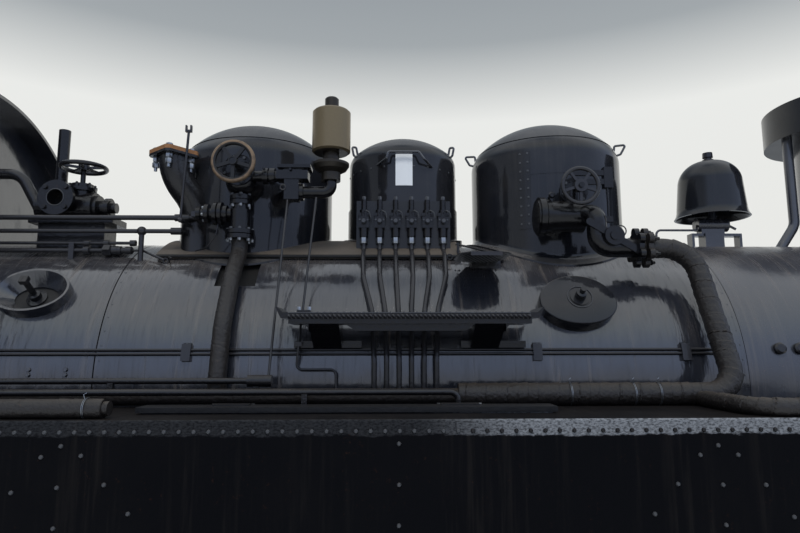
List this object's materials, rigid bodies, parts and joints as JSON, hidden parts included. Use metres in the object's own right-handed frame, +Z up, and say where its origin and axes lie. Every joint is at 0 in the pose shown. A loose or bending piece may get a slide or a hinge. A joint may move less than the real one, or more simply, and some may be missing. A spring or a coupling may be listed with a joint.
{
  "type": "steam locomotive boiler with side tanks",
  "caption": "Boiler of a side-tank steam locomotive with smokebox, domes, chimney, pipework, side water tanks and the front sheet of the cab.",
  "frame": {"origin": "middle of the seat under the smokebox saddle, straight below the chimney", "axes": "+X forwards to the smokebox door, +Z up, so +Y is the left-hand side"},
  "size_m": [7.0951, 3.044, 3.2198],
  "materials": {
    "gloss_paint": "gloss",
    "smokebox_paint": "satin",
    "tank_paint": "gloss",
    "fitting_paint": "satin",
    "plate_steel": "rough",
    "cast_iron": "rough",
    "worn_steel": "satin",
    "rusty_steel": "rough",
    "brass": "satin",
    "bronze": "satin",
    "lagging": "rough",
    "enamel": "gloss"
  },
  "bodies": {
    "boiler_and_tanks": {"ashpan": "plate_steel", "backhead": "plate_steel", "backhead_fittings": "brass", "barrel_cladding": "gloss_paint", "barrel_shell": "plate_steel", "bell": "gloss_paint", "bell_bracket": "smokebox_paint", "blank_flange": "rusty_steel", "blank_plate": "enamel", "bracket_shelf": "fitting_paint", "cab_front": "gloss_paint", "chimney": "smokebox_paint", "chimney_hood": "gloss_paint", "conduits": "worn_steel", "control_rods": "worn_steel", "dome_handles": "gloss_paint", "dome_valve": "fitting_paint", "dome_valve_wheel": "bronze", "feed_dome": "gloss_paint", "feed_dome_crown": "gloss_paint", "feed_valve": "fitting_paint", "feed_valve_wheel": "worn_steel", "fire_grate": "cast_iron", "firebox": "plate_steel", "firebox_cladding": "gloss_paint", "handholes": "gloss_paint", "hood_pipe": "smokebox_paint", "main_pipe": "lagging", "pull_rods": "worn_steel", "rear_pipe": "lagging", "roof_edge": "gloss_paint", "saddle": "smokebox_paint", "safety_elbow": "fitting_paint", "sand_dome": "gloss_paint", "sand_dome_top": "gloss_paint", "sand_pipes": "worn_steel", "sand_valves": "fitting_paint", "second_pipe": "lagging", "smokebox": "smokebox_paint", "smokebox_front": "smokebox_paint", "steam_dome": "gloss_paint", "steam_dome_crown": "gloss_paint", "steps": "gloss_paint", "tank_left": "tank_paint", "tank_pipes": "fitting_paint", "tank_right": "tank_paint", "tank_stretchers": "plate_steel", "thin_pipes": "worn_steel", "turret": "fitting_paint", "turret_pipe": "fitting_paint", "turret_wheel": "fitting_paint", "washout_covers": "gloss_paint", "washout_plugs": "fitting_paint", "whistle": "brass", "whistle_valve": "fitting_paint"},
    "smokebox_door": {"smokebox_door": "smokebox_paint", "door_wheel": "worn_steel"},
    "filler_lid_right": {"filler_lid_right": "tank_paint"},
    "filler_lid_left": {"filler_lid_left": "tank_paint"},
    "firehole_door": {"firehole_door": "cast_iron"}
  },
  "joints": [
    {"name": "smokebox_door_hinge", "type": "hinge", "parent": "boiler_and_tanks", "child": "smokebox_door", "pos_m": [0.61, 0.69, 1.4], "axis": [0, 0, 1], "range_deg": [0, 120]},
    {"name": "firehole_door_hinge", "type": "hinge", "parent": "boiler_and_tanks", "child": "firehole_door", "pos_m": [-6.215, 0.265, 1.07], "axis": [0, 0, -1], "range_deg": [0, 100]},
    {"name": "filler_lid_right_hinge", "type": "hinge", "parent": "boiler_and_tanks", "child": "filler_lid_right", "pos_m": [-3.19, -1.205, 1.356], "axis": [-1, 0, 0], "range_deg": [0, 85]},
    {"name": "filler_lid_left_hinge", "type": "hinge", "parent": "boiler_and_tanks", "child": "filler_lid_left", "pos_m": [-3.19, 1.205, 1.356], "axis": [1, 0, 0], "range_deg": [0, 85]}
  ]
}
